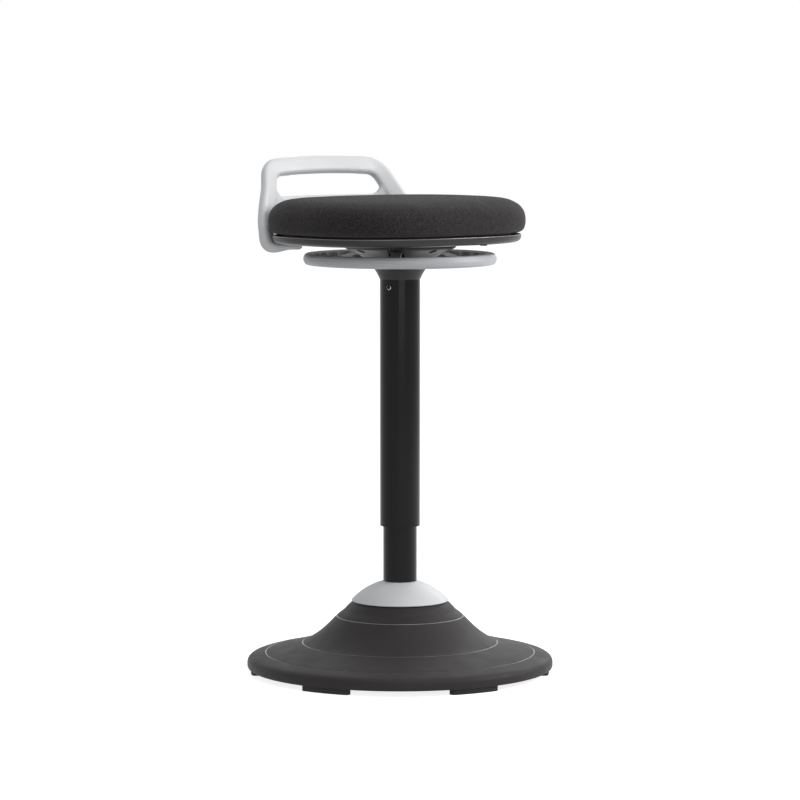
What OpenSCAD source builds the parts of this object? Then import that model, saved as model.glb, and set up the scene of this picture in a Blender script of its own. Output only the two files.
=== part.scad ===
// Height-adjustable perch stool on a round weighted foot with a tilting column.
// Millimetres. Origin: centre of the foot on the floor, +Z up, the seat's front faces -Y.

/* [Foot] */
// Diameter of the round foot
base_d = 385; // [375:1:410]
// Height of the rubber pads under the foot
pad_h = 7; // [4:0.5:9]
// Length of one rubber pad along its arc
pad_len = 55; // [30:1:80]
// Width of one rubber pad
pad_w = 12; // [8:1:15]
// Number of rubber pads
pad_count = 6; // [3:1:8]
// Height of the foot's upright rim
rim_h = 11; // [9:1:14]
// Wall of the moulded cover
cover_wall = 3; // [2:0.5:4]
// Thickness of the sheet that closes the underside
bottom_t = 1.5; // [1:0.5:2]
// Distance of the cast weight's edge from the foot's edge
ballast_edge_gap = 29.5; // [26:0.5:36]
// Thickness of the cast weight
ballast_h = 12; // [11:1:14]
// Distance of the cover screws from the foot's edge
cover_screw_inset = 44.5; // [40:0.5:52]
// Number of cover screws
cover_screw_count = 6; // [3:1:8]

/* [Tilt joint] */
// Diameter of the column's foot flange
flange_d = 84; // [80:1:86]
// Thickness of the column's foot flange
flange_t = 4; // [3:0.5:5]
// Diameter of the pivot ball
ball_d = 16; // [14:1:17]
// Thickness of the rubber ring under the flange
rubber_low_h = 8; // [8:0.5:9]
// Thickness of the rubber ring over the flange
rubber_top_h = 10; // [9:0.5:12]
// Sheet thickness of the pivot socket and its retainer
socket_t = 3; // [2.5:0.5:3.5]
// Diameter of the circle of pivot bolts
pivot_bolt_pcd = 118; // [116:1:122]
// Number of pivot bolts
pivot_bolt_count = 4; // [3:1:6]

/* [Column] */
// Outer diameter of the lower tube
inner_tube_d = 42.6; // [41:0.2:43]
// Wall of the lower tube
inner_tube_wall = 2; // [1.5:0.1:2.5]
// Height of the lower tube's top end above the floor
inner_tube_top = 464; // [440:1:466]
// Outer diameter of the upper tube
outer_tube_d = 50.4; // [50:0.2:52]
// Wall of the upper tube
outer_tube_wall = 2; // [1.5:0.1:2.2]
// Height of the upper tube's lower end above the floor, stool at its lowest
outer_tube_low = 186; // [170:1:220]
// Diameter of the grey cap at its lower edge
cap_d = 122; // [120:1:124]
// Height of the grey cap's lower edge above the floor
cap_edge_z = 92; // [91.5:0.5:93]
// Height at which the grey cap meets the tube
cap_top_z = 116; // [114:0.5:118]
// Wall of the grey cap
cap_wall = 1.5; // [1.2:0.1:1.6]

/* [Gas spring] */
// Diameter of the gas spring's cylinder
cylinder_d = 28; // [27:0.5:29]
// Wall of the gas spring's cylinder
cylinder_wall = 1.5; // [1:0.1:2]
// Diameter of the gas spring's rod
rod_d = 10; // [9:0.5:11]
// Height travel of the seat
travel = 230; // [150:1:240]
// Diameter of the release pin
pin_d = 5; // [4:0.5:6]
// Number of balls in the thrust bearing
bearing_ball_count = 8; // [5:1:9]

/* [Hub] */
// Height above the floor where the hub meets the upper tube
hub_low_z = 496; // [492:1:500]
// Height above the floor of the pan's underside
pan_low_z = 541; // [539:1:543]
// Diameter of the hub's top flange
hub_flange_d = 148; // [144:1:150]
// Wall of the hub's trumpet
hub_wall = 3; // [2.5:0.5:3.5]
// Width of the four windows in the trumpet
hub_window_w = 19; // [18:1:22]

/* [Release ring] */
// Outer diameter of the release ring
ring_d = 242; // [236:1:246]
// Height of the release ring's underside above the floor
ring_low_z = 514.4; // [513:0.2:515.4]
// Height of the release ring's section
ring_h = 14; // [11:0.5:14]
// Depth of the release ring's channel section
ring_depth = 13; // [10:0.5:16]
// Wall of the release ring's channel
ring_wall = 2; // [1.5:0.1:2.4]
// Number of ribs in the channel
ring_rib_count = 32; // [16:4:40]
// Width of a spoke at the release ring
spoke_wide = 36; // [30:1:44]
// Width of a spoke where it passes the hub
spoke_narrow = 13; // [11:0.5:14]
// Thickness of a spoke
spoke_t = 5; // [4:0.5:6]

/* [Seat] */
// Width of the cushion, side to side
seat_w = 326; // [310:1:340]
// Depth of the cushion, front to back
seat_depth = 266; // [250:1:272]
// How far the cushion's middle lies behind the column
seat_back_shift = 4.7; // [0:0.1:8]
// Height of the cushion's seam above the floor
seam_z = 552.5; // [552:0.1:553.5]
// Height of the cushion's crown above its seam
cushion_h = 47; // [40:1:60]
// Wall of the seat pan
pan_wall = 3; // [2.5:0.5:3.5]
// Thickness of the steel seat plate
seat_plate_t = 3; // [2.5:0.1:3.2]
// Distance of the seat plate's edge from the handle's screws
plate_edge_gap = 13.5; // [10:0.1:17]

/* [Handle] */
// Width of the handle's legs
handle_w = 25.5; // [22:0.5:27]
// Thickness of the handle's legs and top bar
handle_t = 12; // [10:0.5:13]
// Width of the handle's loop at the cushion's top, as a share of the cushion's width
handle_w_share = 0.638; // [0.62:0.002:0.67]
// Thickness of the panel between the handle's legs
panel_t = 8; // [6:0.5:10]
// Height of the middle of the handle's top bar above the pan's underside
handle_rise = 95; // [90:0.5:110]
// How far the middle of the top bar lies behind the cushion
handle_gap = 21.8; // [19:0.1:30]

/* [Fits] */
// Running clearance of a bush, shaft or pin, measured on the radius
run_gap = 0.05; // [0.03:0.01:0.08]
// Clearance between parts that never touch while one of them moves
free_gap = 0.3; // [0.25:0.05:0.5]

/* [Hidden] */
$fn = 96;
// Facets of small round parts
small_fn = 32;
// Overrun of every cut
cut = 1;
up = [0, 0, 1];

// Colours
dark_plastic = [0.24, 0.23, 0.235];
pale_plastic = [0.80, 0.81, 0.82];
grey_plastic = [0.68, 0.69, 0.70];
black_steel = [0.13, 0.12, 0.125];
bright_steel = [0.70, 0.70, 0.71];
black_rubber = [0.09, 0.09, 0.09];
natural_nylon = [0.86, 0.85, 0.80];
charcoal_fabric = [0.20, 0.18, 0.19];

// A smooth curve through points, with a number of steps between neighbours
function spline_point(a, b, c, d, t) = 0.5 * ((2 * b) + (c - a) * t
    + (2 * a - 5 * b + 4 * c - d) * t * t + (3 * b - a - 3 * c + d) * t * t * t);
function smooth(points, steps) = let (last = len(points) - 1) concat(
    [for (i = [0 : last - 1], k = [0 : steps - 1])
        spline_point(points[max(i - 1, 0)], points[i], points[i + 1], points[min(i + 2, last)], k / steps)],
    [points[last]]);
function reversed(list) = [for (i = [len(list) - 1 : -1 : 0]) list[i]];
// Height of an outline at a radius
function height_at(line, r) = let (over = [for (i = [0 : len(line) - 2])
    if (line[i][0] <= r && line[i + 1][0] > r) line[i][1] + (line[i + 1][1] - line[i][1])
        * (r - line[i][0]) / (line[i + 1][0] - line[i][0])]) over[0];
// A closed body through equal rings of points, with flat ends
function loft_faces(rings, sides) = concat(
    [for (r = [0 : rings - 2], s = [0 : sides - 1])
        [r * sides + s, (r + 1) * sides + s, (r + 1) * sides + (s + 1) % sides]],
    [for (r = [0 : rings - 2], s = [0 : sides - 1])
        [r * sides + s, (r + 1) * sides + (s + 1) % sides, r * sides + (s + 1) % sides]],
    [[for (s = [0 : sides - 1]) s]],
    [[for (s = [sides - 1 : -1 : 0]) (rings - 1) * sides + s]]);

// Foot: heights and radii that the cover, the weight and the pads share
base_r = base_d / 2;
rim_top_z = pad_h + rim_h;
rim_edge = cover_wall / 3;
bottom_gap = free_gap;
bottom_z = pad_h + bottom_gap;
bottom_edge_gap = 0.6;
bottom_r = base_r - cover_wall - bottom_edge_gap;
ballast_z = bottom_z + bottom_t;
ballast_top = ballast_z + ballast_h;
ballast_r = base_r - ballast_edge_gap;
cover_screw_r = base_r - cover_screw_inset;
pad_inset = 4.5;
pad_r = base_r - pad_inset - pad_w / 2;
pad_turn = 20;
pad_angle = pad_len / pad_r * 180 / PI;
pad_fn = 48;

// Tilt joint: everything turns about one point on the column's axis
both_tilts = 8.6;
socket_z = ballast_z;
socket_floor_t = 2;
rubber_low_z = socket_z + socket_floor_t;
flange_z = rubber_low_z + rubber_low_h;
pivot_z = flange_z + flange_t / 2;
flange_top = flange_z + flange_t;
flange_r = flange_d / 2;
rubber_top_z = flange_top + rubber_top_h;
socket_gap = 3;
socket_in_r = flange_r + socket_gap;
socket_wall = 4.5;
socket_out_r = socket_in_r + socket_wall;
socket_rim_edge = 9;
socket_rim_r = pivot_bolt_pcd / 2 + socket_rim_edge;
retainer_z = ballast_top + socket_t;
rubber_in_r = 28;
rubber_fit = 0.4;
rubber_out_r = flange_r;
retainer_in_r = 29;
liner_t = 1.5;
ball_r = ball_d / 2;
liner_in_r = ball_r + free_gap;
liner_out_r = liner_in_r + liner_t;
seat_ball_r = liner_out_r + free_gap;
boss_r = 13;
boss_top = pivot_z - ball_r * 0.58;
pivot_bolt_d = 6;
pivot_head_d = 10;
pivot_head_h = 4;

// Crown of the cover: a sphere about the tilt point, hidden by the grey cap
cap_r = cap_d / 2;
tube_r = inner_tube_d / 2;
cap_centre_z = (cap_r * cap_r + cap_edge_z * cap_edge_z - tube_r * tube_r - cap_top_z * cap_top_z)
    / (2 * (cap_edge_z - cap_top_z));
cap_sphere_r = sqrt(tube_r * tube_r + (cap_top_z - cap_centre_z) * (cap_top_z - cap_centre_z));
cap_edge_angle = atan(cap_r / (cap_edge_z - cap_centre_z));
cap_inner_r = cap_sphere_r - cap_wall;
cap_lip = [cap_inner_r * sin(cap_edge_angle), cap_centre_z + cap_inner_r * cos(cap_edge_angle)];
crown_gap = 0.7;
crown_r = norm(cap_lip - [0, pivot_z]) - crown_gap;
crown_spare_angle = 1;
crown_end_angle = atan(cap_r / (cap_edge_z - pivot_z)) + both_tilts + crown_spare_angle;
crown_mouth_gap = 1.2;
crown_mouth_r = tube_r / cos(both_tilts) + crown_r * sin(both_tilts) + crown_mouth_gap;
crown_mouth_angle = asin(crown_mouth_r / crown_r);
crown_edge = [crown_r * sin(crown_end_angle), pivot_z + crown_r * cos(crown_end_angle)];
crown_steps = 10;
crown_angles = [for (i = [0 : crown_steps])
    crown_mouth_angle + (crown_end_angle - crown_mouth_angle) * i / crown_steps];

// Bell of the cover, from the crown's edge out to the rim: shares of that span, out and up
bell_shares = [[0, 1], [0.0746, 0.884], [0.143, 0.745], [0.225, 0.589], [0.324, 0.442], [0.4287, 0.331],
    [0.611, 0.229], [0.809, 0.134], [0.906, 0.098], [0.966, 0.058], [1, 0]];
groove_rows = [1, 5, 7];
groove_r = 0.55;
bell = [for (s = bell_shares) [crown_edge[0] + s[0] * (base_r - crown_edge[0]),
    rim_top_z + s[1] * (crown_edge[1] - rim_top_z)]];
bell_steps = 3;
wall_shift_shares = [0.6, 0.9];

// Screws that hold the underside and the weight to the cover's bosses
cover_screw_d = 4;
cover_head_d = 8;
cover_head_h = 2.5;
cover_boss_d = 10;
screw_bite = 6;
// The bosses end inside the cover's wall, above its inner face at their outer side
cover_boss_top = height_at(smooth(bell, bell_steps), cover_screw_r + cover_boss_d / 2) - cover_wall / 4;

// Column
spigot_r = tube_r - inner_tube_wall - run_gap;
spigot_h = 25;
clip_room_r = 9;
clip_room_h = 10;
stud_h = 5;
rod_r = rod_d / 2;
rod_end_r = rod_r * 0.8;
race_t = 2;
race_r = 12;
bearing_ball_r = 1.5;
bearing_pitch_r = 8.5;
race_low_z = flange_top + spigot_h;
ball_row_z = race_low_z + race_t + bearing_ball_r + run_gap;
race_high_z = ball_row_z + bearing_ball_r + run_gap;
shoulder_z = race_high_z + race_t;
shoulder_h = 3;
shoulder_r = 7.5;
clip_z = flange_top + stud_h + clip_room_h * 0.4;
clip_t = 1.2;
clip_r = 7;
groove_neck_r = rod_end_r * 0.78;
clip_mouth = 5;
outer_tube_r = outer_tube_d / 2;
outer_in_r = outer_tube_r - outer_tube_wall;
bush_h = 33;
top_bush_h = 34;
top_bush_cap = 3;

// Gas spring
cylinder_r = cylinder_d / 2;
cylinder_gap = 6;
cylinder_z = shoulder_z + shoulder_h + cylinder_gap;
cylinder_cap = 12;
rod_spare = 18;
rod_top = cylinder_z + travel + rod_spare;
piston_h = 14;
taper_rise = 6;
taper_z = hub_low_z + taper_rise;
valve_gap = 3;
cylinder_top = pan_low_z - valve_gap;
taper_in = 1;
taper_r = cylinder_r - taper_in;
valve_t = 6;
pin_stick_out = 5;
pin_r = pin_d / 2;
pin_in_spring = 12;
pin_drop_room = 4;
pin_z = cylinder_top - valve_t - pin_in_spring;
pin_top = cylinder_top + pin_stick_out;

// Hub: a collar in the upper tube and a trumpet up to the flange
tube_top = hub_low_z;
collar_h = 26;
collar_r = outer_in_r - run_gap;
flange_hub_r = hub_flange_d / 2;
flange_lip = 3;
pan_floor_top = pan_low_z + pan_wall;
// Trumpet outline: shares of the way out and up from tube to flange
trumpet_shares = [[0, 0], [0.09, 0.18], [0.21, 0.35], [0.43, 0.58], [0.66, 0.74], [0.88, 0.83],
    [0.97, 0.88], [1, 1]];
trumpet_top_r = flange_hub_r - flange_lip;
trumpet = [for (s = trumpet_shares) [outer_tube_r + s[0] * (trumpet_top_r - outer_tube_r),
    hub_low_z + s[1] * (pan_low_z - hub_low_z)]];
window_rise = 15;
window_low_z = hub_low_z + window_rise;
hub_turn = 45;
tube_screw_d = 4;
tube_screw_head_d = 7;
tube_screw_head_h = 1.4;
tube_screw_socket_h = 1;
tube_screw_end_gap = 1.5;
tube_screw_drop = 9.4;
tube_screw_angle = 198;
hub_bolt_d = 6;
hub_bolt_head_d = 10;
hub_bolt_head_h = 4;
hub_bolt_pcd = 126;
hub_bolt_sink = 1;
hub_bolt_seat_z = pan_low_z - hub_bolt_sink;
hub_top_in_r = 52;
window_reach = 68;
window_top_gap = 2.5;
window_top_z = pan_low_z - window_top_gap;

// Release ring: fulcrum in front of the gas spring's pin
ring_r = ring_d / 2;
ring_top = ring_low_z + ring_h;
fulcrum_y = -20;
fulcrum_drop = 1.5;
fulcrum_z = pan_low_z - fulcrum_drop;
lever_pin_r = 2;
ear_x = 33;
ear_t = 3;
lug_x = 26;
lug_t = 5;
lug_r = 4;
collar_gap = 4;
collar_in_r = cylinder_r + collar_gap;
collar_wall = 9;
ring_collar_drop = 12;
ring_collar_z = pan_low_z - ring_collar_drop;
ring_collar_t = 5;
bridge_w = 9;
bridge_t = 3;
bridge_low = pin_top + free_gap;
bridge_post = 4;
rim_round = 4.5;
crescent_w = 5;
crescent_len_angle = 9;
crescent_inset = 21;
rib_set_back = 1;
spoke_low_z = ring_low_z + ring_wall / 2;
// Middle line of a spoke: shares of the way in, and of the rise to the collar
spoke_line_shares = [[0, 0], [0.22, 0.015], [0.36, 0.16], [0.52, 0.5], [0.66, 0.84], [0.78, 1], [1, 1]];
spoke_in_r = collar_in_r + collar_wall / 2;
spoke_out_r = ring_r - rim_round;
spoke_neck_run = 4;
spoke_neck_r = window_reach + spoke_neck_run;
spoke_root_w = spoke_wide / 1.1;

// Seat
seat_n = 2.5;
seat_sides = 64;
board_gap = 0.3;
plate_z = pan_floor_top;
plate_top = plate_z + seat_plate_t;
board_z = plate_top + board_gap;
board_t = seam_z - board_gap - board_z;
board_inset = 17;
pan_lip_gap = 0.8;
plate_hole_r = 30;
plate_corner_r = 14;
pan_hole_gap = 0.5;
pan_hole_r = flange_hub_r + pan_hole_gap;
pan_screw_d = 5;
pan_screw_head_d = 9;
pan_screw_head_h = 3;
pan_screw_inset = 14;
// Cushion section from the seam up: inset from the widest outline and height, as shares of its height
cushion_shares = [[0.15, 0], [0.064, 0.05], [0.016, 0.12], [0, 0.22], [0, 0.44], [0.016, 0.56],
    [0.06, 0.66], [0.132, 0.75], [0.23, 0.83], [0.36, 0.895], [0.52, 0.938], [0.76, 0.965],
    [1.16, 0.982], [1.76, 0.994]];
// Pan section from the floor out and up to the lip: inset and height, as shares of the pan's height
pan_h = seam_z - pan_lip_gap - pan_low_z;
pan_shares = [[2.2, 0], [1.4, 0.03], [0.93, 0.12], [0.67, 0.3], [0.56, 0.55], [0.51, 1]];

// Handle: the right half of its middle line from foot to top bar
handle_half_w = seat_w / 2 * handle_w_share;
handle_back = seat_back_shift + seat_depth / 2 + handle_gap;
handle_top_z = pan_low_z + handle_rise;
handle_foot_t_share = 0.68;
foot_gap = 0.3;
foot_mid_z = pan_low_z - foot_gap - handle_t / 2 * handle_foot_t_share;
foot_low_z = foot_mid_z - handle_t / 2 * handle_foot_t_share;
handle_lean = 24;
handle_sides = 16;
band_round = 0.62;
bar_w_share = 0.863;
handle_steps = 2;
handle_screw_d = 5;
handle_screw_head_d = 8;
handle_screw_head_h = 2.5;

// The right half of the handle's middle line, from under the pan over the elbow to the top bar's middle
foot_shares = [[0.889, 0.505, 0], [0.99, 0.566, 0], [1.04, 0.597, 0.38], [1.083, 0.627, 0.835],
    [1.122, 0.656, 1], [1.158, 0.681, 0.1]];
foot_dip = 1.75;
post_z_shares = [0.003, 0.079, 0.158, 0.242, 0.411, 0.642, 0.8, 0.868];
post_x_shares = [1.18, 1.184, 1.18, 1.154, 1.083, 0.974, 0.91, 0.878];
post_y_shares = [0.698, 0.706, 0.723, 0.75, 0.797, 0.855, 0.904, 0.927];
// Thickness of the band along its way to the back: thin under the pan, full round the elbow
band_t_shares = [[0.566, handle_foot_t_share], [0.597, 0.8], [0.627, 0.95], [0.656, 1.08],
    [0.681, 1.22], [0.698, 1.3], [0.706, 1.27], [0.723, 1.06], [0.75, 1]];
bar_shares = [[0.812, 0.949, 1], [0.721, 0.963, 0.37], [0.5, 0.977, 0.12], [0.25, 0.992, 0.02], [0, 1, 0]];
bar_drop = handle_rise * 0.063;
handle_half = concat(
    [for (s = foot_shares) [s[0] * handle_half_w, s[1] * handle_back,
        foot_mid_z - s[2] * foot_dip]],
    [for (i = [0 : len(post_z_shares) - 1]) [post_x_shares[i] * handle_half_w,
        post_y_shares[i] * handle_back, pan_low_z + post_z_shares[i] * handle_rise]],
    [for (s = bar_shares) [s[0] * handle_half_w, s[1] * handle_back, handle_top_z - s[2] * bar_drop]]);
handle_line = smooth(concat(handle_half, [for (i = [len(handle_half) - 2 : -1 : 0])
    [-handle_half[i][0], handle_half[i][1], handle_half[i][2]]]), handle_steps);
handle_screw_shares = [0.976, 0.555];
handle_screw_at = [handle_screw_shares[0] * handle_half_w, handle_screw_shares[1] * handle_back];
seat_plate_w = 2 * (handle_screw_at[0] - plate_edge_gap);

// Panel between the legs under the slot: its distance from the cushion, as shares of the handle's
// height over the pan and of its distance behind the cushion
panel_flare_shares = [[0.095, 0.344], [0.242, 0.39], [0.41, 0.505], [0.641, 0.665]];
panel_low_share = 0.095;
panel_top_share = 0.59;
panel_low_z = pan_low_z + handle_rise * panel_low_share;
panel_top_z = pan_low_z + handle_rise * panel_top_share;
panel_corner_r = 13;
panel_half_w = handle_half_w * 0.81;
panel_end_slope = 1.25;
panel_turn_steps = 6.9;
panel_steps = 20;
// Section of the panel: shares of its height and of its half thickness
panel_edge_shares = [[0, 0.45], [0.04, 0.9], [0.3, 1], [0.6, 1], [0.9, 1], [0.97, 0.85], [1, 0.4]];

function unit_of(v) = v / norm(v);
function tangent(line, i) = unit_of(line[min(i + 1, len(line) - 1)] - line[max(i - 1, 0)]);
// Direction of the band's thickness, square to the line: down under the pan, away from the seat above it
function band_out(p, t, rise) = let (away = rise * [0.6 * p[0], p[1], -tan(handle_lean) * p[1]]
    - (1 - rise) * handle_half_w * up) unit_of(away - (away * t) * t);
// The band is narrower along the top bar than down the legs
function band_w(x) = handle_w * (bar_w_share + (1 - bar_w_share) * min(1, pow(abs(x) / handle_half_w, 4)));
// One rounded ring of the band
function band_ring(p, t) = let (rise = min(1, max(0, (p[2] - foot_mid_z) / (seam_z - foot_mid_z))),
    out = band_out(p, t, rise), side = cross(out, t),
    thick = handle_t * lookup(p[1] / handle_back, band_t_shares))
    [for (k = [0 : handle_sides - 1]) let (a = 360 / handle_sides * (k + 0.5), c = cos(a), s = sin(a))
        p + side * band_w(p[0]) / 2 * sign(c) * pow(abs(c), band_round)
            + out * thick / 2 * sign(s) * pow(abs(s), band_round)];

// Point of the seat's plan outline, drawn in by an inset
function plan_point(k, inset) = let (a = 360 / seat_sides * (k + 0.5), c = cos(a), s = sin(a))
    [(seat_w / 2 - inset) * sign(c) * pow(abs(c), 2 / seat_n),
        seat_back_shift + (seat_depth / 2 - inset) * sign(s) * pow(abs(s), 2 / seat_n)];
function plan_ring(inset, z) = [for (k = [0 : seat_sides - 1]) concat(plan_point(k, inset), z)];
// Top edge of the handle's panel: level, up round the slot's corner, then down inside the leg
function panel_top(x) = let (r = panel_corner_r, over = x - panel_half_w + r) panel_top_z
    + (over < 0 ? 0 : over < r ? r - sqrt(r * r - over * over) : r - panel_end_slope * (over - r));
function panel_side(k, side, edge_shares) = let (top = panel_top(abs(plan_point(k, -handle_gap / 2)[0])))
    [for (e = edge_shares) let (z = panel_low_z + e[0] * (top - panel_low_z),
        off = handle_gap * lookup((z - pan_low_z) / handle_rise, panel_flare_shares))
        concat(plan_point(k, -off - side * e[1] * panel_t / 2), z)];
function panel_ring(k) = concat(panel_side(k, -1, panel_edge_shares),
    panel_side(k, 1, reversed(panel_edge_shares)));
module plan_area(inset) { polygon([for (k = [0 : seat_sides - 1]) plan_point(k, inset)]); }

module around(count, radius, turn = 0) {
    for (i = [0 : count - 1]) rotate(up * (turn + 360 / count * i)) translate([radius, 0, 0]) children();
}
module disc(r, z, h) { translate([0, 0, z]) cylinder(r = r, h = h); }
module ring(r_out, r_in, z, h) {
    difference() {
        disc(r_out, z, h);
        disc(r_in, z - cut, h + 2 * cut);
    }
}
module small_rod(d, z, h) { translate([0, 0, z]) cylinder(d = d, h = h, $fn = small_fn); }
// Hexagon socket screw standing on its head, its head's underside at z
module screw_up(d, head_d, head_h, z, length) {
    difference() {
        union() {
            small_rod(d, z - cut / 2, length + cut / 2);
            small_rod(head_d, z - head_h, head_h);
        }
        translate([0, 0, z - head_h - cut]) cylinder(d = d * 0.8, h = cut + head_h * 0.6, $fn = 6);
    }
}
// The same screw hanging from its head, the head's underside at z
module screw_down(d, head_d, head_h, z, length) {
    translate([0, 0, 2 * z]) mirror(up) screw_up(d, head_d, head_h, z, length);
}

// Foot

module base_cover() {
    outer = concat(
        [for (a = crown_angles) [crown_r * sin(a), pivot_z + crown_r * cos(a)]],
        [for (i = [1 : (len(bell) - 1) * bell_steps]) smooth(bell, bell_steps)[i]],
        [[base_r, pad_h + rim_edge], [base_r - rim_edge, pad_h]]);
    inner_r = crown_r - cover_wall;
    inner = concat(
        [for (a = crown_angles) [inner_r * sin(a), pivot_z + inner_r * cos(a)]],
        [for (i = [1 : len(bell) - 3]) [bell[i][0] - wall_shift_shares[0] * cover_wall,
            bell[i][1] - wall_shift_shares[1] * cover_wall]],
        [[base_r - cover_wall, rim_top_z - cover_wall / 2], [base_r - cover_wall, pad_h]]);
    color(dark_plastic) {
        rotate_extrude() difference() {
            polygon(concat(outer, reversed(inner)));
            for (row = groove_rows) translate(bell[row]) circle(r = groove_r, $fn = 4);
        }
        around(cover_screw_count, cover_screw_r) difference() {
            small_rod(cover_boss_d, ballast_top, cover_boss_top - ballast_top);
            small_rod(cover_screw_d + 2 * run_gap, ballast_top - cut, cut + screw_bite);
        }
    }
}
module bottom_plate() {
    color(black_steel) difference() {
        disc(bottom_r, bottom_z, bottom_t);
        around(cover_screw_count, cover_screw_r)
            small_rod(cover_screw_d + 2 * free_gap, bottom_z - cut, bottom_t + 2 * cut);
    }
}

module ballast_plate() {
    color(black_steel) difference() {
        disc(ballast_r, ballast_z, ballast_h);
        disc(socket_out_r + free_gap, ballast_z - cut, ballast_h + 2 * cut);
        around(cover_screw_count, cover_screw_r)
            small_rod(cover_screw_d + 2 * free_gap, ballast_z - cut, ballast_h + 2 * cut);
        around(pivot_bolt_count, pivot_bolt_pcd / 2, hub_turn)
            small_rod(pivot_bolt_d + 2 * run_gap, ballast_z - cut, ballast_h + 2 * cut);
    }
}

module foot_pads() {
    color(black_rubber) around(pad_count, 0, pad_turn - pad_angle / 2) {
        rotate_extrude(angle = pad_angle) translate([pad_r - pad_w / 2, 0]) square([pad_w, bottom_z]);
        for (side = [0, 1]) rotate(up * (side * pad_angle)) translate([pad_r, 0, 0])
            cylinder(d = pad_w, h = bottom_z, $fn = pad_fn);
    }
}

module cover_screws() {
    color(black_steel) around(cover_screw_count, cover_screw_r)
        screw_up(cover_screw_d, cover_head_d, cover_head_h, bottom_z,
            ballast_top - bottom_z + screw_bite - cut);
}

// Tilt joint

module pivot_socket() {
    color(black_steel) difference() {
        union() {
            disc(socket_out_r, socket_z, ballast_h);
            disc(socket_rim_r, ballast_top, socket_t);
        }
        disc(socket_in_r, boss_top, pivot_z);
        translate([0, 0, rubber_low_z]) ring(socket_in_r, boss_r, 0, boss_top - rubber_low_z + cut);
        translate([0, 0, pivot_z]) sphere(r = seat_ball_r);
        around(pivot_bolt_count, pivot_bolt_pcd / 2, hub_turn)
            small_rod(pivot_bolt_d + 2 * run_gap, ballast_top - cut, socket_t + 2 * cut);
    }
}

module pivot_retainer() {
    color(black_steel) difference() {
        union() {
            disc(socket_rim_r, retainer_z, socket_t);
            disc(socket_out_r, retainer_z, rubber_top_z + rubber_fit + socket_t - retainer_z);
        }
        disc(socket_in_r, retainer_z - cut, rubber_top_z + rubber_fit - retainer_z + cut);
        disc(retainer_in_r, retainer_z, rubber_top_z);
        around(pivot_bolt_count, pivot_bolt_pcd / 2, hub_turn)
            small_rod(pivot_bolt_d + 2 * run_gap, retainer_z - cut, socket_t + 2 * cut);
    }
}

module pivot_bolts() {
    color(bright_steel) around(pivot_bolt_count, pivot_bolt_pcd / 2, hub_turn)
        screw_down(pivot_bolt_d, pivot_head_d, pivot_head_h, retainer_z + socket_t,
            2 * socket_t + ballast_h - cut);
}

module lower_rubber_ring() {
    color(black_rubber) ring(rubber_out_r, rubber_in_r, rubber_low_z, rubber_low_h);
}

module upper_rubber_ring() {
    color(black_rubber) ring(rubber_out_r, rubber_in_r, flange_top, rubber_top_h);
}

module ball_liner() {
    color(natural_nylon) difference() {
        translate([0, 0, pivot_z]) sphere(r = liner_out_r);
        translate([0, 0, pivot_z]) sphere(r = liner_in_r);
        disc(seat_ball_r + cut, boss_top, seat_ball_r * 2);
    }
}

module pivot_ball() {
    color(bright_steel) difference() {
        union() {
            translate([0, 0, pivot_z]) sphere(r = ball_r);
            disc(clip_room_r, flange_z, flange_t + stud_h);
        }
        disc(clip_room_r, flange_top + stud_h, ball_r);
    }
}

// Column

module column_foot() {
    color(black_steel) difference() {
        union() {
            disc(flange_r, flange_z, flange_t);
            disc(spigot_r, flange_z, flange_t + spigot_h);
        }
        disc(clip_room_r + run_gap, flange_z - cut, cut + flange_t + stud_h + clip_room_h);
        disc(rod_end_r + run_gap, flange_z, flange_t + spigot_h + cut);
    }
}

module inner_tube() {
    color(black_steel) ring(tube_r, tube_r - inner_tube_wall, flange_top, inner_tube_top - flange_top);
}

module tilt_cap() {
    steps = 16;
    top_angle = asin(tube_r / cap_sphere_r);
    inner_top = asin((tube_r + run_gap) / cap_inner_r);
    color(pale_plastic) rotate_extrude() polygon(concat(
        [for (i = [0 : steps]) let (a = top_angle + (cap_edge_angle - top_angle) * i / steps)
            [cap_sphere_r * sin(a) + (i == 0 ? run_gap : 0), cap_centre_z + cap_sphere_r * cos(a)]],
        [for (i = [steps : -1 : 0]) let (a = inner_top + (cap_edge_angle - inner_top) * i / steps)
            [cap_inner_r * sin(a), cap_centre_z + cap_inner_r * cos(a)]],
        [[tube_r + run_gap, cap_top_z - 2 * cap_wall]]));
}

module upper_guide_bush() {
    bore_r = cylinder_r + run_gap;
    color(natural_nylon) difference() {
        union() {
            disc(tube_r - inner_tube_wall - run_gap, inner_tube_top - top_bush_h, top_bush_h);
            disc(outer_in_r - run_gap, inner_tube_top, top_bush_cap);
        }
        disc(bore_r, inner_tube_top - top_bush_h - cut, top_bush_h + top_bush_cap + 2 * cut);
    }
}

module race(z) {
    color(bright_steel) ring(race_r, rod_end_r + run_gap, z, race_t);
}
module lower_bearing_race() { race(race_low_z); }
module upper_bearing_race() { race(race_high_z); }

module bearing_balls() {
    color(bright_steel) around(bearing_ball_count, bearing_pitch_r)
        translate([0, 0, ball_row_z]) sphere(r = bearing_ball_r, $fn = small_fn);
}

// Gas spring

module gas_rod() {
    color(bright_steel) difference() {
        union() {
            disc(rod_end_r, clip_z - 2 * clip_t, shoulder_z - clip_z + 2 * clip_t);
            disc(shoulder_r, shoulder_z, shoulder_h);
            disc(rod_r, shoulder_z, rod_top - shoulder_z);
            disc(cylinder_r - cylinder_wall - run_gap * 2, rod_top, piston_h);
        }
        ring(rod_r, groove_neck_r, clip_z, clip_t + run_gap);
    }
}

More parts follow.
